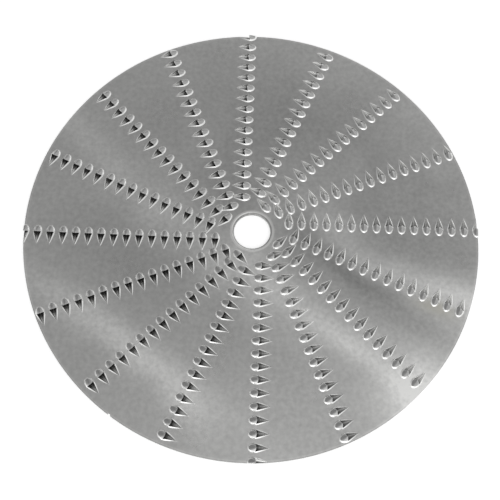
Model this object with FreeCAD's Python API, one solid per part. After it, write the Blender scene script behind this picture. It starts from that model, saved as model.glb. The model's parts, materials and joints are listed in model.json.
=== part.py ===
import FreeCAD
import Part
import math
import os

# Juicer blade: one flat stainless steel disc with straight rows of punched grater teeth.
# Millimetres. The disc lies flat with its underside on z = 0 and its bore on the Z axis.
# The first row of teeth runs out along +X, and the others follow it counter-clockwise.

# Disc
discDiameter = 180.0
sheetThickness = 1.5
boreDiameter = 14.5
boreBevelWidth = 0.9
boreBevelDepth = 0.6

# Rows of teeth. Each row is a straight line that passes the centre at rowOffset.
# Within every group of staggerRows rows, each row starts one staggerStep further in than the row before it.
rowCount = 16
rowOffset = 4.0
toothPitch = 5.0
innermostToothDistance = 10.9
staggerRows = 4
staggerStep = 1.8

# One tooth. Its hood rises from the sheet to an overhanging lip, and the pit in front of the lip
# runs out to a point at the tail.
hoodHalfWidth = 1.87
hoodLength = 2.95
shoulderHalfWidth = 1.42
shoulderHeight = 0.45
lipHeight = 1.5
lipLeanAngle = 20.0
tailLength = 5.0
pitDepth = 1.1
hoodFacets = 7

# How far roots and cutters reach past the faces that they join or cut.
toothRootDepth = 0.3
pitOverlap = 0.1
cutterClearance = 2.0


def vector(x, y, z):
    return FreeCAD.Vector(x, y, z)


def faceThrough(points):
    return Part.Face(Part.makePolygon(points + [points[0]]))


def solidFromFaces(faces):
    solid = Part.Solid(Part.makeShell(faces))
    if solid.Volume < 0:
        solid.reverse()
    return solid


def lipLean(height):
    # Where the leaning lip face stands along the tooth, at a height above the sheet.
    return (height - shoulderHeight) * math.tan(math.radians(lipLeanAngle))


def hoodRing(scale, height):
    # Half an ellipse round the back of the hood, from one end of the lip to the other.
    points = []
    for step in range(hoodFacets + 1):
        angle = math.pi * step / hoodFacets
        across = hoodHalfWidth * scale * math.cos(angle)
        back = -hoodLength * scale * math.sin(angle)
        points.append(vector(across, back, height))
    return points


def hoodAndRim():
    # The metal that stands above the sheet: a steep skirt all round, then the hood's back,
    # which rises to the middle of the lip, and the rim that falls along the tail.
    foot = hoodRing(1.0, 0.0)
    shoulder = hoodRing(shoulderHalfWidth / hoodHalfWidth, shoulderHeight)
    crest = vector(0.0, lipLean(lipHeight), lipHeight)
    tip = vector(0.0, tailLength, 0.0)
    faces = []
    for near, far, high, low in zip(foot, foot[1:], shoulder[1:], shoulder):
        faces.append(faceThrough([near, far, high, low]))
        faces.append(faceThrough([low, high, crest]))
    faces.append(faceThrough([foot[0], shoulder[0], tip]))
    faces.append(faceThrough([foot[-1], tip, shoulder[-1]]))
    faces.append(faceThrough([shoulder[0], crest, shoulder[-1]]))
    faces.append(faceThrough([shoulder[0], shoulder[-1], tip]))
    outline = foot + [tip]
    root = [vector(point.x, point.y, -toothRootDepth) for point in outline]
    faces.append(faceThrough(root))
    for number in range(len(outline)):
        after = (number + 1) % len(outline)
        faces.append(faceThrough([outline[number], outline[after], root[after], root[number]]))
    return solidFromFaces(faces)


def pitCutter():
    # A three-sided punch point that ends just above the rims. Its front face makes the lip's face,
    # and its two flanks meet in the valley that climbs from the deepest point to the tail's tip.
    deepest = vector(0.0, lipLean(-pitDepth), -pitDepth)
    mouth = [
        vector(shoulderHalfWidth, 0.0, shoulderHeight),
        vector(-shoulderHalfWidth, 0.0, shoulderHeight),
        vector(0.0, tailLength, 0.0),
    ]
    reach = (shoulderHeight + pitOverlap + pitDepth) / (shoulderHeight + pitDepth)
    top = [deepest + (corner - deepest) * reach for corner in mouth]
    faces = [faceThrough(top)]
    for number in range(3):
        faces.append(faceThrough([top[number], top[(number + 1) % 3], deepest]))
    return solidFromFaces(faces)


def toothPlacements():
    # Every tooth of every row whose middle lies inside the disc.
    placements = []
    for row in range(rowCount):
        turn = FreeCAD.Rotation(vector(0, 0, 1), 360.0 * row / rowCount)
        stepsOut = (staggerRows - 2 - row) % staggerRows
        along = innermostToothDistance + staggerStep * stepsOut
        while along < discDiameter / 2:
            spot = FreeCAD.Placement(vector(along, rowOffset, sheetThickness), FreeCAD.Rotation())
            placements.append(FreeCAD.Placement(vector(0, 0, 0), turn) * spot)
            along += toothPitch
    return placements


def placed(solid, placements):
    copies = []
    for placement in placements:
        copy = solid.copy()
        copy.Placement = placement
        copies.append(copy)
    return copies


def boreCutter():
    # The bore, with its upper edge bevelled.
    radius = boreDiameter / 2
    outer = radius + boreBevelWidth
    top = sheetThickness + lipHeight + cutterClearance
    profile = [
        vector(0, 0, -cutterClearance),
        vector(radius, 0, -cutterClearance),
        vector(radius, 0, sheetThickness - boreBevelDepth),
        vector(outer, 0, sheetThickness),
        vector(outer, 0, top),
        vector(0, 0, top),
    ]
    return faceThrough(profile).revolve(vector(0, 0, 0), vector(0, 0, 1), 360)


def bladeDisc():
    # The sheet is toothed first, then cut round and bored, so the rim trims the outermost teeth.
    sheet = Part.makeCylinder(discDiameter / 2 + toothPitch, sheetThickness)
    placements = toothPlacements()
    toothed = sheet.multiFuse(placed(hoodAndRim(), placements))
    toothed = toothed.cut(placed(pitCutter(), placements))
    blank = Part.makeCylinder(discDiameter / 2, sheetThickness + lipHeight + cutterClearance)
    return toothed.common(blank).cut(boreCutter())


def main():
    os.makedirs("parts", exist_ok=True)
    disc = bladeDisc().Solids[0]
    disc.exportStep("parts/blade_disc.step")
    box = disc.BoundBox
    print("teeth", len(toothPlacements()))
    print("valid", disc.isValid(), "volume", round(disc.Volume, 1))
    print("box", [round(size, 3) for size in (box.XLength, box.YLength, box.ZLength)])


main()
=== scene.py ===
import json
import math
import bpy
import numpy as np
from mathutils import Matrix, Vector


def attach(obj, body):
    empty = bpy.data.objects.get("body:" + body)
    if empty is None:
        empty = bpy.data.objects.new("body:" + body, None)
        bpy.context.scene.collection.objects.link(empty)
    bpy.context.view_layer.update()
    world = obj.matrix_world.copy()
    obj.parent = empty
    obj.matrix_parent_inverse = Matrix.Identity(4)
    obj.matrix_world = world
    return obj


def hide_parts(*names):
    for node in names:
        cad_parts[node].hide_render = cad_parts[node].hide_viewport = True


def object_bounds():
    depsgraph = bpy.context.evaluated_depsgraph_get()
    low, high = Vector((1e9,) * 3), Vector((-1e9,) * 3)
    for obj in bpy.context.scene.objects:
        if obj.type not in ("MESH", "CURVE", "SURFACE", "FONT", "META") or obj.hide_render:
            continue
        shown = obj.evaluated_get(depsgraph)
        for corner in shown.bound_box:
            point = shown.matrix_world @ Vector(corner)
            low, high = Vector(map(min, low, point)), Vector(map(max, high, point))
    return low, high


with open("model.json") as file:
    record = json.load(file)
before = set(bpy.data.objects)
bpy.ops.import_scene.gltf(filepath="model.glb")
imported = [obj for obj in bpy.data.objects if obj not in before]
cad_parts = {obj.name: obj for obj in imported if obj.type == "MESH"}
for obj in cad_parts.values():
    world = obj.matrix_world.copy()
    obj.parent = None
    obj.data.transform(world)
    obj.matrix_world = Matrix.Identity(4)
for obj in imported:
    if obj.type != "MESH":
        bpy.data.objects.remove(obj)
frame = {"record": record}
cadLow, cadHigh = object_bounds()   # the box of the CAD model, before any piece is made
mm = 0.001                      # shapes below are worked out in millimetres and written in metres
print("frame loaded")


# Small helpers

def meshObject(name, points, loopVerts, loopTotals):
    # One object from flat arrays: corner points, the points round each face, and each face's count.
    loopTotals = np.asarray(loopTotals, dtype=np.int32)
    loopStarts = np.concatenate(([0], np.cumsum(loopTotals)[:-1])).astype(np.int32)
    mesh = bpy.data.meshes.new(name)
    mesh.vertices.add(len(points))
    mesh.vertices.foreach_set("co", np.asarray(points, dtype=np.float32).ravel())
    mesh.loops.add(len(loopVerts))
    mesh.loops.foreach_set("vertex_index", np.asarray(loopVerts, dtype=np.int32))
    mesh.polygons.add(len(loopTotals))
    mesh.polygons.foreach_set("loop_start", loopStarts)
    mesh.update(calc_edges=True)
    piece = bpy.data.objects.new(name, mesh)
    bpy.context.collection.objects.link(piece)
    return piece


def ringQuads(ringCount, sideCount, closed):
    # Four-sided faces between rings of sideCount points that follow each other, closed into a tube or not.
    rings = np.arange(ringCount if closed else ringCount - 1)
    sides = np.arange(sideCount)
    ring, side = np.meshgrid(rings, sides, indexing="ij")
    nextRing, nextSide = (ring + 1) % ringCount, (side + 1) % sideCount
    corners = [ring * sideCount + side, ring * sideCount + nextSide,
               nextRing * sideCount + nextSide, nextRing * sideCount + side]
    return np.stack(corners, axis=-1).reshape(-1, 4)


def combine(piece, other, operation):
    # Joins, cuts or trims piece with other, which is used up.
    modifier = piece.modifiers.new(operation, "BOOLEAN")
    modifier.operation = operation
    modifier.solver = "MANIFOLD"
    modifier.object = other
    depsgraph = bpy.context.evaluated_depsgraph_get()
    mesh = bpy.data.meshes.new_from_object(piece.evaluated_get(depsgraph))
    piece.modifiers.clear()
    piece.data = mesh
    bpy.data.objects.remove(other)


def meshValues(items, name, kind, width):
    # One measure of every item of a mesh, as an array: one number each, or a row of width numbers.
    values = np.empty(len(items) * width, dtype=kind)
    items.foreach_get(name, values)
    return values if width == 1 else values.reshape(-1, width)


def cylinder(name, middle, radius, low, high, sides):
    # An upright cylinder in mm: the ring (x + r cos a, y + r sin a) at two heights, with both ends closed.
    a = np.arange(sides) * 2 * np.pi / sides
    x, y = middle
    ring = np.stack([x + radius * np.cos(a), y + radius * np.sin(a), 0 * a + low], axis=-1)
    points = np.concatenate([ring, ring + [0, 0, high - low]])
    quads = ringQuads(2, sides, closed=False)
    ends = np.concatenate([np.arange(sides)[::-1], np.arange(sides) + sides])
    loops = np.concatenate([quads.ravel(), ends])
    return meshObject(name, points * mm, loops, [4] * len(quads) + [sides, sides])


# Blade disc

discForm = {
    "sheetThickness": 1.5,
    "sides": 256,            # flats round the rim and the bore
    "rimRounding": 0.12,
    "rimSteps": 2,           # faces across each rounded edge of the rim
    "boreRounding": 1.1,     # the eased upper edge of the bore, across
    "boreRoundingDepth": 0.6,
    "boreSteps": 5,
    "topRings": 22,          # rings of faces across the flat top, which keep each face small
    "trimInset": 0.01,       # the teeth are trimmed to a blank this much smaller than the disc
    "trimHeight": 6.0,
    "edgeAngle": 38.0,       # a sharper turn than this between two faces is an edge
    "flatUp": 0.99999,       # a face is flat if its direction points up by more than this
    "flatHeight": 0.001,     # and is part of the sheet's top if it lies no further off it
}

toothForm = {
    "hoodHalfWidth": 1.87,
    "hoodLength": 2.95,
    "shoulderHalfWidth": 1.42,
    "shoulderHeight": 0.45,
    "shoulderRise": 0.3,     # the share by which the shoulder is higher behind than at the lip
    "lipHeight": 1.49,
    "lipLeanAngle": 20.0,
    "domePower": 1.25,       # 1 is a straight-sided hood, more is rounder
    "peakExcess": (0.2, 0.02),   # how far the hood's peak passes the crest, along and up, before it is cut
    "pitTail": 5.0,          # from the lip to the pit's point
    "footTail": 5.5,         # from the lip to the point of the raised rim
    "footTailPower": 1.25,
    "rimFallPower": 0.75,    # how the raised rim falls along the tail
    "pitDepth": 1.1,
    "pitRisePower": 1.3,     # 1 is a straight ramp from the lip to the tail, more is hollow
    "punchEnd": 0.98,        # the share of the pit's length at which its punch ends
    "punchSideRoom": 0.02,   # the punch is this much wider on each side than the shoulder
    "punchHeadRoom": 0.9,    # and this much taller than the lip
    "punchSwell": 1.02,      # its size where it cuts the sheet, so that no face meets one of the hood's
    "rootDepth": 1.3,
    "backColumns": 12,
    "tailColumns": 4,
    "pitStations": 6,
    "pitColumns": 8,
}

# The rings of a hood from its foot up. Each: how far inward, how high and how far towards the crest, as
# toothRing says.
toothLevels = [
    (-0.15, -0.05, 0),
    (0.08, 0.06, 0),
    (0.42, 0.42, 0),
    (0.78, 0.86, 0),
    (1.0, 1.0, 0.03),
    (1.0, 1.0, 0.22),
    (1.0, 1.0, 0.46),
    (1.0, 1.0, 0.74),
]

rowForm = {
    "rows": 16,
    "offset": 4.0,           # each row passes the centre at this distance
    "pitch": 5.0,
    "innermost": 10.9,
    "staggerRows": 4,
    "staggerStep": 1.8,
}

# The small nick in the rim: a round bite out of the edge, right through the sheet.
rimNick = {
    "turn": -123.9,          # from the first row
    "radius": 0.7,
    "depth": 0.5,
    "low": -0.5,             # cut from below the sheet
    "high": 4.0,             # to above the teeth
    "sides": 16,
}

# How the pits' faces are told from the rest, and how much painted shade they take: 0 is the sheet, 1 the
# lips' faces.
pitMarks = {
    "tailPitShade": 0.1,      # where a pit runs out
    "floorPitShade": 0.85,    # at its deepest
    "sideRoom": 0.04,        # how far outside the pit's side the middle of one of its faces may lie
    "topRoom": 0.01,         # how far above its rim
    "lipRoom": 0.004,        # how far off the lip's face, as a share of the pit's length
    "lowest": 0.3,           # no pit reaches down to this height
    "rimRoom": 0.05,         # or is nearer to the rim than this
}

discRadius = (cadHigh.x - cadLow.x) / 2 / mm
boreRadius = frame["record"]["mounts"][0]["dims"]["r_mm"]


def arc(centreX, centreZ, radiusX, radiusZ, start, end, steps):
    # Points of an ellipse's arc: centre + (radiusX cos t, radiusZ sin t) for t from start to end degrees.
    t = np.radians(np.linspace(start, end, steps + 1))
    return np.stack([centreX + radiusX * np.cos(t), centreZ + radiusZ * np.sin(t)], axis=-1)


def sheetSolid():
    # The plain sheet: its section (r, z) carried round the axis, (r cos a, r sin a, z).
    f = discForm
    top, rim, rimSteps = f["sheetThickness"], f["rimRounding"], f["rimSteps"]
    wide, deep, boreSteps = f["boreRounding"], f["boreRoundingDepth"], f["boreSteps"]
    across = np.linspace(boreRadius + wide, discRadius - rim, f["topRings"] + 1)[1:-1]
    section = np.concatenate([
        [[boreRadius, 0.0]],
        arc(boreRadius + wide, top - deep, wide, deep, 180, 90, boreSteps),
        np.stack([across, 0 * across + top], axis=-1),
        arc(discRadius - rim, top - rim, rim, rim, 90, 0, rimSteps),
        arc(discRadius - rim, rim, rim, rim, 0, -90, rimSteps),
    ])
    a = np.arange(f["sides"]) * 2 * np.pi / f["sides"]
    r, z = section[:, :1], section[:, 1:]
    points = np.stack([r * np.cos(a), r * np.sin(a), z + 0 * a], axis=-1).reshape(-1, 3)
    quads = ringQuads(len(section), f["sides"], closed=True)[:, ::-1]
    return meshObject("sheetSolid", points * mm, quads.ravel(), [4] * len(quads))


def lipLean(height):
    # The lip's face leans over the pit: this far along the tooth at a height above the sheet.
    return (height - toothForm["shoulderHeight"]) * math.tan(math.radians(toothForm["lipLeanAngle"]))


def toothRing(inward, height, towardsCrest):
    # One level of the hood and its rim, as a teardrop: half an ellipse (w cos a, -l sin a) round the back
    # and a convex tail (w (1 - (y/t)^p), y). inward runs from the foot, 0, to the shoulder, 1, height is a
    # share of the shoulder's height, 1 + r sin a behind, which falls along the tail, and towardsCrest, q,
    # draws the ring in to the crest while it climbs by 1 - (1 - q)^d, a dome.
    f = toothForm
    half = f["hoodHalfWidth"] + (f["shoulderHalfWidth"] - f["hoodHalfWidth"]) * inward
    length = f["hoodLength"] + half - f["hoodHalfWidth"]
    a = np.linspace(0, np.pi, f["backColumns"] + 1)
    back = np.stack([half * np.cos(a), -length * np.sin(a), 1 + f["shoulderRise"] * np.sin(a)], axis=-1)
    along = np.linspace(0, 1, f["tailColumns"] + 1)[1:]
    foot = f["hoodHalfWidth"] * (1 - along ** f["footTailPower"])
    reach = f["footTail"] + (f["pitTail"] - f["footTail"]) * inward
    mouth = f["shoulderHalfWidth"] * (1 - along)
    across = foot + (mouth - foot) * inward
    fall = (1 - along) ** f["rimFallPower"]
    left = np.stack([-across, along * reach, fall], axis=-1)
    right = (left * [-1, 1, 1])[-2::-1]
    ring = np.concatenate([back, left, right])
    ring[:, 2] *= height * f["shoulderHeight"]
    climb = 1 - (1 - towardsCrest) ** f["domePower"]
    return ring + (beyondCrest() - ring) * [towardsCrest, towardsCrest, climb]


def beyondCrest():
    # The hood's peak before the lip's face cuts it: a little past the crest.
    along, up = toothForm["peakExcess"]
    crest = toothForm["lipHeight"]
    return np.array([0.0, lipLean(crest) + along, crest + up])


def hoodSolid():
    # The rings of one tooth, from the root inside the sheet up to just past the crest.
    rings = [toothRing(*level) for level in toothLevels]
    root = rings[0] * [1, 1, 0] - [0, 0, toothForm["rootDepth"]]
    rings = [root] + rings
    sides = len(root)
    points = np.concatenate(rings)
    quads = ringQuads(len(rings), sides, closed=False)[:, ::-1]
    last = (len(rings) - 1) * sides + np.arange(sides)
    tip = np.stack([np.roll(last, -1), last, np.full(sides, len(points))], axis=-1)
    points = np.concatenate([points, [beyondCrest()]])
    bottom = np.arange(sides)
    loops = np.concatenate([quads.ravel(), tip.ravel(), bottom])
    return meshObject("hoodSolid", points * mm, loops, [4] * len(quads) + [3] * sides + [sides])


def pitSolid(grow):
    # The punch: across the tooth it is a bowl, z = rim - (rim + depth) (1 - u^2), on a half-width w (1 - t),
    # with depth d (1 - t)^p from the lip, t = 0, to the tail, t = 1, and its walls go straight up from the
    # rim. At the lip it leans as the lip's face does, and ever less towards the tail. grow is its size about
    # its own middle.
    f = toothForm
    t = np.linspace(0, f["punchEnd"], f["pitStations"] + 1)[:, None]
    u = np.linspace(-1, 1, f["pitColumns"] + 1)[None, :]
    rim = f["shoulderHeight"] * (1 - t) ** f["rimFallPower"]
    depth = f["pitDepth"] * (1 - t) ** f["pitRisePower"]
    bowl = rim - (rim + depth) * (1 - u ** 2)
    walls = np.full((len(t), 2), f["lipHeight"] + f["punchHeadRoom"])
    z = np.concatenate([bowl, walls], axis=1)
    x = (f["shoulderHalfWidth"] + f["punchSideRoom"]) * (1 - t) * np.concatenate([u, [[1, -1]]], axis=1)
    y = lipLean(z) * (1 - t) + f["pitTail"] * t
    points = np.stack([x, y, z], axis=-1).reshape(-1, 3)
    sides = z.shape[1]
    quads = ringQuads(len(t), sides, closed=False)[:, ::-1]
    ends = np.concatenate([np.arange(sides), np.arange(sides)[::-1] + len(points) - sides])
    middle = (points.min(axis=0) + points.max(axis=0)) / 2
    points = middle + (points - middle) * grow
    loops = np.concatenate([quads.ravel(), ends])
    return meshObject("pitSolid", points * mm, loops, [4] * len(quads) + [sides, sides])


def firstTooth(row):
    # The distance of a row's innermost tooth: in each four rows, it steps in by one step from row to row.
    f = rowForm
    return f["innermost"] + f["staggerStep"] * ((f["staggerRows"] - 2 - row) % f["staggerRows"])


def toothPlaces():
    # The number and the turn of every tooth's row and its distance along that row, as three arrays.
    f = rowForm
    distances = [np.arange(firstTooth(row), discRadius, f["pitch"]) for row in range(f["rows"])]
    rows = np.repeat(np.arange(f["rows"]), [len(along) for along in distances])
    return rows, 2 * np.pi * rows / f["rows"], np.concatenate(distances)


def copies(template, name, turns, distances):
    # One mesh of the template at every place: turned (x cos t - y sin t, x sin t + y cos t) about the axis.
    mesh = template.data
    points = meshValues(mesh.vertices, "co", np.float32, 3)[None].astype(float)
    loops = meshValues(mesh.loops, "vertex_index", np.int32, 1)
    totals = meshValues(mesh.polygons, "loop_total", np.int32, 1)
    x = points[..., 0] + distances[:, None] * mm
    y = points[..., 1] + rowForm["offset"] * mm
    z = points[..., 2] + discForm["sheetThickness"] * mm + 0 * x
    c, s = np.cos(turns)[:, None], np.sin(turns)[:, None]
    placed = np.stack([x * c - y * s, x * s + y * c, z], axis=-1).reshape(-1, 3)
    shifts = np.arange(len(turns))[:, None] * points.shape[1]
    return meshObject(name, placed, (loops[None, :] + shifts).ravel(), np.tile(totals, len(turns)))


def toothedDisc():
    # The sheet with every pit cut, then every finished tooth set into it, then the nick in its rim.
    # Neighbouring rows overlap near the bore, so even and odd rows go in one after the other. Even rows hold
    # the teeth that the rim cuts, which are trimmed to a blank first.
    f, n = discForm, rimNick
    disc = sheetSolid()
    tooth = hoodSolid()
    combine(tooth, pitSolid(1.0), "DIFFERENCE")
    pit = pitSolid(toothForm["punchSwell"])
    rows, turns, distances = toothPlaces()
    even = rows % 2 == 0
    for half in (even, ~even):
        combine(disc, copies(pit, "pits", turns[half], distances[half]), "DIFFERENCE")
    teeth = [copies(tooth, "teeth", turns[half], distances[half]) for half in (even, ~even)]
    inset = f["trimInset"]
    blank = cylinder("blank", (0, 0), discRadius - inset, inset, f["trimHeight"], f["sides"])
    combine(teeth[0], blank, "INTERSECT")
    for half in teeth:
        combine(disc, half, "UNION")
    bpy.data.objects.remove(tooth)
    bpy.data.objects.remove(pit)
    turn, away = math.radians(n["turn"]), discRadius + n["radius"] - n["depth"]
    middle = (away * math.cos(turn), away * math.sin(turn))
    combine(disc, cylinder("nick", middle, n["radius"], n["low"], n["high"], n["sides"]), "DIFFERENCE")
    print("teeth", len(turns), "faces", len(disc.data.polygons))
    return disc


def smoothShading(piece):
    # Smooth but for real edges. Where a face runs out gently into the flat top, it takes the flat's
    # direction, (0, 0, 1), so the flat stays flat and the foot of each tooth fades into it.
    f = discForm
    mesh = piece.data
    mesh.shade_smooth()
    mesh.set_sharp_from_angle(angle=math.radians(f["edgeAngle"]))
    directions = meshValues(mesh.corner_normals, "vector", np.float32, 3)
    counts = meshValues(mesh.polygons, "loop_total", np.int32, 1)
    corners = meshValues(mesh.loops, "vertex_index", np.int32, 1)
    upward = meshValues(mesh.polygons, "normal", np.float32, 3)[:, 2]
    height = meshValues(mesh.polygons, "center", np.float32, 3)[:, 2]
    flat = (upward > f["flatUp"]) & (abs(height - f["sheetThickness"] * mm) < f["flatHeight"] * mm)
    gentle = upward > math.cos(math.radians(f["edgeAngle"]))
    onFlat = np.zeros(len(mesh.vertices), dtype=bool)
    onFlat[corners[np.repeat(flat, counts)]] = True
    directions[onFlat[corners] & np.repeat(gentle, counts)] = (0, 0, 1)
    mesh.normals_split_custom_set(directions)


def insidePits(points):
    # Whether each point lies inside a pit, and whether on the lip's face. For each row the points are turned
    # to the row's own directions and measured from its nearest tooth, x along the row and y across it, where
    # the pit goes from the lip, t = 0, to the tail, t = 1, and t = (y - lean) / (tail - lean).
    f, m = toothForm, pitMarks
    inside = np.zeros(len(points), dtype=bool)
    lips = np.zeros(len(points), dtype=bool)
    z = points[:, 2] - discForm["sheetThickness"]
    lean = lipLean(z)
    for row in range(rowForm["rows"]):
        turn = 2 * np.pi * row / rowForm["rows"]
        along = points[:, 0] * np.cos(turn) + points[:, 1] * np.sin(turn) - firstTooth(row)
        x = along - rowForm["pitch"] * np.maximum(np.round(along / rowForm["pitch"]), 0)
        y = points[:, 1] * np.cos(turn) - points[:, 0] * np.sin(turn) - rowForm["offset"]
        t = (y - lean) / (f["pitTail"] - lean)
        left = np.clip(1 - t, 0, 1)
        rim = f["shoulderHeight"] * left ** f["rimFallPower"]
        narrow = abs(x) < (f["shoulderHalfWidth"] + m["sideRoom"]) * left
        inside |= narrow & (t > -m["lipRoom"]) & (z < rim + m["topRoom"])
        lips |= narrow & (abs(t) < m["lipRoom"])
    return inside, lips


def markPits(piece):
    # How much painted shade each face takes, kept with the mesh for its colour: 0 outside the pits, and
    # inside them from tailPitShade at the sheet's top to floorPitShade at the pit's full depth. The lip's
    # face is darkest, 1.
    m = pitMarks
    mesh = piece.data
    centres = meshValues(mesh.polygons, "center", np.float32, 3).astype(float) / mm
    counts = meshValues(mesh.polygons, "loop_total", np.int32, 1)
    away = np.hypot(centres[:, 0], centres[:, 1])
    onTop = (centres[:, 2] > m["lowest"]) & (away < discRadius - m["rimRoom"])
    below = discForm["sheetThickness"] - centres[:, 2]
    share = np.clip(below / toothForm["pitDepth"], 0, 1)
    inside, lips = insidePits(centres)
    paintedShade = (m["tailPitShade"] + (m["floorPitShade"] - m["tailPitShade"]) * share) * (inside & onTop)
    paintedShade[lips & onTop] = 1
    values = np.repeat(paintedShade, counts).astype(np.float32)
    mesh.attributes.new("pitShade", "FLOAT", "CORNER").data.foreach_set("value", values)


# Steel

def link(tree, source, target):
    tree.links.new(source, target)


def newNode(tree, kind, **values):
    node = tree.nodes.new(kind)
    for name, value in values.items():
        setattr(node, name, value)
    return node


def step(tree, operation, *values):
    # One step of arithmetic on numbers and on other nodes' values.
    node = newNode(tree, "ShaderNodeMath", operation=operation)
    for value, socket in zip(values, node.inputs):
        if isinstance(value, (int, float)):
            socket.default_value = value
        else:
            link(tree, value, socket)
    return node.outputs["Value"]


steelFinish = {
    "colour": (0.62, 0.62, 0.61, 1),
    "pitColour": (0.14, 0.14, 0.138, 1),     # painted shade, down in the pits and on the lips' faces
    "skirtColour": (0.88, 0.88, 0.87, 1),    # painted highlight on the raised rim round each tooth
    "skirtHeights": (1.51, 1.60),            # heights, in mm, between which the colour changes
    "hoodColour": (0.45, 0.45, 0.445, 1),    # painted shade on the hoods
    "hoodHeights": (1.98, 2.20),
    "edgeColour": (0.75, 0.75, 0.74, 1),     # painted highlight along the lips' crests, with burnish from use
    "edgeHeights": (2.75, 2.97),
    "brightness": (0.1, 1.58),               # the least and the most of the colour's share
    "roughness": (0.27, 0.36),
    "cloudNoise": (28.0, 4.0),               # of the roughness; a noise is its waves a metre and its detail
    "cloudLimits": (0.35, 0.65),             # noise between which the roughness goes from one to the other
    "grainNoise": (900.0, 3.0),
    "grainHeight": 0.00001,                  # m
    "grainStrength": 0.6,
    "speckleNoise": (560.0, 3.0),
    "speckle": 0.42,                         # how much the speckle changes the steel's brightness
    "sheenSpeckle": 0.8,                     # and by how much more, as a share of a sheen's strength
    "wanderNoise": (30.0, 2.0),
    "wander": 8.0,                           # mm, by which a sheen's outline wanders
    "stainColour": (0.62, 0.60, 0.50, 1),
    "stain": (72.0, -30.0, 7.0, 2.5, -20.0, 0.5),      # like a sheen, below
}

# Painted reflections: soft light and dark patches in the steel's colour, standing in for the bands of the
# surroundings that the slightly wavy rolled sheet reflects. Each: middle x, y, half-length and half-width in
# mm, turn in degrees, and by what share it makes the steel brighter.
sheens = {
    "leftBand": (-48.0, -46.5, 30.0, 4.8, -33.0, 0.50),
    "leftEnd": (-23.5, -69.5, 10.0, 4.6, -52.0, 0.30),
    "centreGlow": (-6.5, -11.5, 31.5, 9.8, -30.0, 0.60),
    "centreShade": (17.5, -4.5, 45.0, 16.5, -3.0, -0.43),
    "innerGlow": (32.5, 3.5, 16.0, 7.7, -53.0, 0.60),
    "boreGlow": (6.0, 5.0, 9.0, 9.0, 0.0, 0.50),
    "darkPatch": (42.0, -17.0, 14.0, 3.5, -33.0, -0.50),
    "rightBand": (36.0, -42.5, 22.0, 3.7, -33.0, 0.40),
    "rightGlow": (76.5, -23.0, 28.0, 5.3, -16.0, 0.56),
    "rightShade": (62.0, -36.5, 18.5, 3.8, -24.0, -0.15),
    "rimGlow": (62.5, -60.0, 8.8, 6.9, 29.0, 0.60),
    "lowerShade": (41.0, -95.0, 35.0, 18.0, -68.0, -0.13),
    "upperLeftBand": (-70.0, 38.5, 45.0, 5.2, -43.0, 0.18),
    "upperShade": (9.5, 50.0, 12.5, 18.0, 46.0, -0.20),
}

# Rings round the axis of painted light: a painted highlight on the bore's eased edge and on the rim's edge,
# and painted shade on the bore's wall and on the rim's wall. Each: radius and half-width in mm, and by what
# share it makes the steel brighter.
rings = {
    "boreEdge": (8.35, 0.28, 0.75),
    "boreWall": (7.4, 0.3, -0.68),
    "rimEdge": (89.5, 0.25, 0.15),
    "rimWall": (90.0, 0.1, -0.4),
}


def noise(tree, place, scale, detail):
    # Soft noise from 0 to 1, about 0.5; scale is in waves a metre.
    node = newNode(tree, "ShaderNodeTexNoise")
    node.inputs["Scale"].default_value = scale
    node.inputs["Detail"].default_value = detail
    link(tree, place, node.inputs["Vector"])
    return node


def blend(tree, value, limits, first, second):
    # A colour that goes smoothly from first to second as value goes from one limit to the other.
    share = newNode(tree, "ShaderNodeMapRange", interpolation_type="SMOOTHSTEP")
    share.inputs["From Min"].default_value, share.inputs["From Max"].default_value = limits
    link(tree, value, share.inputs["Value"])
    mix = newNode(tree, "ShaderNodeMix", data_type="RGBA")
    link(tree, share.outputs["Result"], mix.inputs[0])
    for colour, socket in ((first, mix.inputs[6]), (second, mix.inputs[7])):      # 6 and 7 are the colours
        if isinstance(colour, tuple):
            socket.default_value = colour
        else:
            link(tree, colour, socket)
    return mix.outputs[2]


def bell(tree, squared, strength):
    # strength * exp(-squared / 2), a soft rise and fall.
    fall = step(tree, "MULTIPLY", squared, -0.5)
    return step(tree, "MULTIPLY", step(tree, "EXPONENT", fall), strength)


def patch(tree, place, middleX, middleY, halfLength, halfWidth, turn, strength):
    # strength * exp(-(u^2 + v^2) / 2), where u and v are the distances along and across the patch from its
    # middle, as shares of its half-length and half-width.
    c, s = math.cos(math.radians(turn)), math.sin(math.radians(turn))
    squares = []
    for alongX, alongY, half in ((c, s, halfLength), (-s, c, halfWidth)):
        distance = newNode(tree, "ShaderNodeVectorMath", operation="DOT_PRODUCT")
        link(tree, place, distance.inputs[0])
        distance.inputs[1].default_value = (alongX / half / mm, alongY / half / mm, 0)
        middle = (middleX * alongX + middleY * alongY) / half
        share = step(tree, "SUBTRACT", distance.outputs["Value"], middle)
        squares.append(step(tree, "MULTIPLY", share, share))
    return bell(tree, step(tree, "ADD", *squares), strength)


def ringBand(tree, place, radius, halfWidth, strength):
    # strength * exp(-((r - radius) / halfWidth)^2 / 2), where r is the distance from the axis.
    level = newNode(tree, "ShaderNodeVectorMath", operation="MULTIPLY")
    link(tree, place, level.inputs[0])
    level.inputs[1].default_value = (1 / halfWidth / mm, 1 / halfWidth / mm, 0)
    away = newNode(tree, "ShaderNodeVectorMath", operation="LENGTH")
    link(tree, level.outputs["Vector"], away.inputs[0])
    share = step(tree, "SUBTRACT", away.outputs["Value"], radius / halfWidth)
    return bell(tree, step(tree, "MULTIPLY", share, share), strength)


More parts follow.
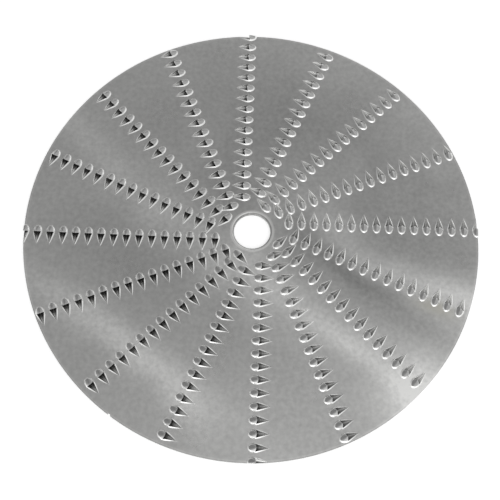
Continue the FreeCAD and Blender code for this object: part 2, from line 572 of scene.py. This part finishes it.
def wandering(tree, place):
    # Object coordinates shifted by soft noise, so that a patch has no plain outline.
    f = steelFinish
    shift = newNode(tree, "ShaderNodeVectorMath", operation="MULTIPLY_ADD")
    link(tree, noise(tree, place, *f["wanderNoise"]).outputs["Color"], shift.inputs[0])
    shift.inputs[1].default_value = (f["wander"] * mm,) * 3
    shift.inputs[2].default_value = (-f["wander"] * mm / 2,) * 3
    total = newNode(tree, "ShaderNodeVectorMath", operation="ADD")
    link(tree, place, total.inputs[0])
    link(tree, shift.outputs["Vector"], total.inputs[1])
    return total.outputs["Vector"]


def sheetColour(tree, place):
    # The steel's colour times 1 + the sheens (painted reflections) + the rings (painted highlights and
    # painted shade) + the speckle, within limits, and the stain over it.
    # The speckle is the noise less 0.5, and stronger in a bright sheen.
    f = steelFinish
    soft = wandering(tree, place)
    total = 0.0
    for values in sheens.values():
        total = step(tree, "ADD", total, patch(tree, soft, *values))
    dots = noise(tree, place, *f["speckleNoise"])
    more = step(tree, "MULTIPLY", step(tree, "MAXIMUM", total, 0.0), f["sheenSpeckle"])
    strength = step(tree, "ADD", more, f["speckle"])
    speckle = step(tree, "MULTIPLY", step(tree, "SUBTRACT", dots.outputs["Fac"], 0.5), strength)
    for values in rings.values():
        total = step(tree, "ADD", total, ringBand(tree, place, *values))
    least, most = f["brightness"]
    brightness = step(tree, "ADD", step(tree, "ADD", total, speckle), 1.0)
    brightness = step(tree, "MINIMUM", step(tree, "MAXIMUM", brightness, least), most)
    scaled = newNode(tree, "ShaderNodeVectorMath", operation="SCALE")
    scaled.inputs[0].default_value = f["colour"][:3]
    link(tree, brightness, scaled.inputs["Scale"])
    stain = patch(tree, soft, *f["stain"])
    return blend(tree, stain, (0.0, 1.0), scaled.outputs["Vector"], f["stainColour"])


def steel():
    # Plain metal with painted reflections that change with the place on the sheet, painted highlights and
    # painted shade that change with the height, and painted shade in the pits, with clouds of roughness and
    # a fine grain.
    f = steelFinish
    material = bpy.data.materials.new("stainlessSteel")
    material.use_nodes = True
    tree = material.node_tree
    shader = tree.nodes["Principled BSDF"]
    shader.inputs["Metallic"].default_value = 1.0
    place = newNode(tree, "ShaderNodeTexCoord")
    pitShade = newNode(tree, "ShaderNodeAttribute", attribute_name="pitShade")
    colour = sheetColour(tree, place.outputs["Object"])
    height = newNode(tree, "ShaderNodeSeparateXYZ")
    link(tree, place.outputs["Object"], height.inputs["Vector"])
    # By height: painted highlight on the teeth's rims, painted shade on the hoods, painted highlight along
    # the lips' crests.
    for part in ("skirt", "hood", "edge"):
        limits = [value * mm for value in f[part + "Heights"]]
        colour = blend(tree, height.outputs["Z"], limits, colour, f[part + "Colour"])
    # Painted shade in the pits and on the lips' faces, from the pitShade attribute.
    colour = blend(tree, pitShade.outputs["Fac"], (0.0, 1.0), colour, f["pitColour"])
    link(tree, colour, shader.inputs["Base Color"])
    cloud = noise(tree, place.outputs["Object"], *f["cloudNoise"])
    spread = newNode(tree, "ShaderNodeMapRange")
    spread.inputs["From Min"].default_value, spread.inputs["From Max"].default_value = f["cloudLimits"]
    spread.inputs["To Min"].default_value, spread.inputs["To Max"].default_value = f["roughness"]
    link(tree, cloud.outputs["Fac"], spread.inputs["Value"])
    link(tree, spread.outputs["Result"], shader.inputs["Roughness"])
    grain = noise(tree, place.outputs["Object"], *f["grainNoise"])
    bump = newNode(tree, "ShaderNodeBump")
    bump.inputs["Strength"].default_value = f["grainStrength"]
    bump.inputs["Distance"].default_value = f["grainHeight"]
    link(tree, grain.outputs["Fac"], bump.inputs["Height"])
    link(tree, bump.outputs["Normal"], shader.inputs["Normal"])
    return material


disc = toothedDisc()
disc.name = "bladeDisc"
smoothShading(disc)
markPits(disc)
disc.data.materials.clear()
disc.data.materials.append(steel())
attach(disc, "root")
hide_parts("blade_disc")
print("disc made")


# Floor, world and lights

studio = {
    "floorSize": 4.0,                # m
    "floorDrop": 0.02,               # mm below the sheet, so that the two don't share a plane
    "floorColour": (0.9, 0.9, 0.9, 1),
    "floorBrightness": 0.5,
    "horizon": 1.3,
    "zenith": 0.27,
    "skyHeights": (-0.1, 0.4),       # of the direction: the sky goes from horizon to zenith between them
    "darkest": 0.02,                 # the least of the sky's brightness, where shades overlap
}

# Each glow: azimuth, height above the floor and radius, in degrees, and its strength, which is below zero
# for a shade.
glows = {
    "front": (265, 7, 60, 0.6),
    "lowFront": (268, 4, 22, 1.3),
    "right": (31, 33, 26, 0.45),
    "overhead": (358, 74, 10, 0.75),
    "behind": (78, 46, 10, 0.4),
    "behindShade": (70, 64, 10, -0.5),
    "cameraShade": (222, 45, 22, -0.3),
}


def paleFloor():
    # A flat square just under the sheet.
    half = studio["floorSize"] / 2
    points = np.array([[-half, -half, 0], [half, -half, 0], [half, half, 0], [-half, half, 0]])
    piece = meshObject("floor", points - [0, 0, studio["floorDrop"] * mm], [0, 1, 2, 3], [4])
    material = bpy.data.materials.new("paleFloor")
    material.use_nodes = True
    shader = material.node_tree.nodes["Principled BSDF"]
    shader.inputs["Base Color"].default_value = studio["floorColour"]
    shader.inputs["Roughness"].default_value = 1.0
    shader.inputs["Specular IOR Level"].default_value = 0.0
    shader.inputs["Emission Color"].default_value = (1, 1, 1, 1)
    shader.inputs["Emission Strength"].default_value = studio["floorBrightness"]
    piece.data.materials.append(material)


def softGlow(tree, direction, azimuth, height, radius, strength):
    # strength * exp(-(g / radius)^2 / 2), where g is the angle between the direction and the glow's middle.
    a, h = math.radians(azimuth), math.radians(height)
    facing = newNode(tree, "ShaderNodeVectorMath", operation="DOT_PRODUCT")
    link(tree, direction, facing.inputs[0])
    facing.inputs[1].default_value = (math.cos(a) * math.cos(h), math.sin(a) * math.cos(h), math.sin(h))
    angle = step(tree, "ARCCOSINE", facing.outputs["Value"])
    share = step(tree, "DIVIDE", angle, math.radians(radius))
    return bell(tree, step(tree, "POWER", share, 2.0), strength)


def paleSky():
    # White at the horizon, falling to grey overhead with the height of the direction, and the glows added.
    world = bpy.data.worlds.new("studio")
    world.use_nodes = True
    bpy.context.scene.world = world
    tree = world.node_tree
    place = newNode(tree, "ShaderNodeTexCoord")
    parts = newNode(tree, "ShaderNodeSeparateXYZ")
    link(tree, place.outputs["Generated"], parts.inputs["Vector"])
    fall = newNode(tree, "ShaderNodeMapRange", interpolation_type="SMOOTHSTEP")
    fall.inputs["From Min"].default_value, fall.inputs["From Max"].default_value = studio["skyHeights"]
    fall.inputs["To Min"].default_value = studio["horizon"]
    fall.inputs["To Max"].default_value = studio["zenith"]
    link(tree, parts.outputs["Z"], fall.inputs["Value"])
    total = fall.outputs["Result"]
    for glow in glows.values():
        total = step(tree, "ADD", total, softGlow(tree, place.outputs["Generated"], *glow))
    total = step(tree, "MAXIMUM", total, studio["darkest"])
    link(tree, total, tree.nodes["Background"].inputs["Color"])


paleFloor()
paleSky()
print("studio made")


# Camera

cameraView = {
    "focalPixels": 867.6,    # focal length, in pixels of the 500-pixel picture
    "elevation": 70.01,      # of the line through the picture's middle
    "distance": 3.825,       # from the disc's centre, in disc radii
    "roll": 4.07,
    "centrePixel": (252.13, 230.88),
    "rowTurn": 1.84,         # the first row's turn from the picture's horizontal
    "sensor": 36.0,          # mm
    "picture": 500.0,        # pixels across
    "nearest": 0.01,         # m, from where on the camera sees
}


def photoCamera():
    # The camera looks down by the elevation and is rolled. Seen from it, the disc's centre lies along
    # forward + right x + up y, where x and y are its pixel's distances from the picture's middle over the
    # focal length. All of it then turns about the axis by the first row's turn.
    v = cameraView
    e, roll, turn = (math.radians(v[key]) for key in ("elevation", "roll", "rowTurn"))
    forward = Vector((0, math.cos(e), -math.sin(e)))
    upright = Vector((0, math.sin(e), math.cos(e)))
    right = Vector((math.cos(roll), 0, 0)) + upright * math.sin(roll)
    up = upright * math.cos(roll) - Vector((math.sin(roll), 0, 0))
    aside = (v["centrePixel"][0] - v["picture"] / 2) / v["focalPixels"]
    above = -(v["centrePixel"][1] - v["picture"] / 2) / v["focalPixels"]
    away = (forward + right * aside + up * above) * v["distance"] * discRadius * mm
    turned = Matrix.Rotation(-turn, 3, "Z")
    centre = Vector((0, 0, discForm["sheetThickness"] * mm))
    data = bpy.data.cameras.new("camera")
    data.sensor_width = v["sensor"]
    data.lens = v["focalPixels"] * v["sensor"] / v["picture"]
    data.clip_start = v["nearest"]
    camera = bpy.data.objects.new("camera", data)
    axes = Matrix((right, up, -forward)).transposed()
    camera.rotation_mode = "QUATERNION"
    camera.rotation_quaternion = (turned @ axes).to_quaternion()
    camera.location = turned @ (-away) + centre
    bpy.context.collection.objects.link(camera)
    bpy.context.scene.camera = camera


photoCamera()
bpy.context.scene.view_settings.view_transform = "Standard"

print("camera made")
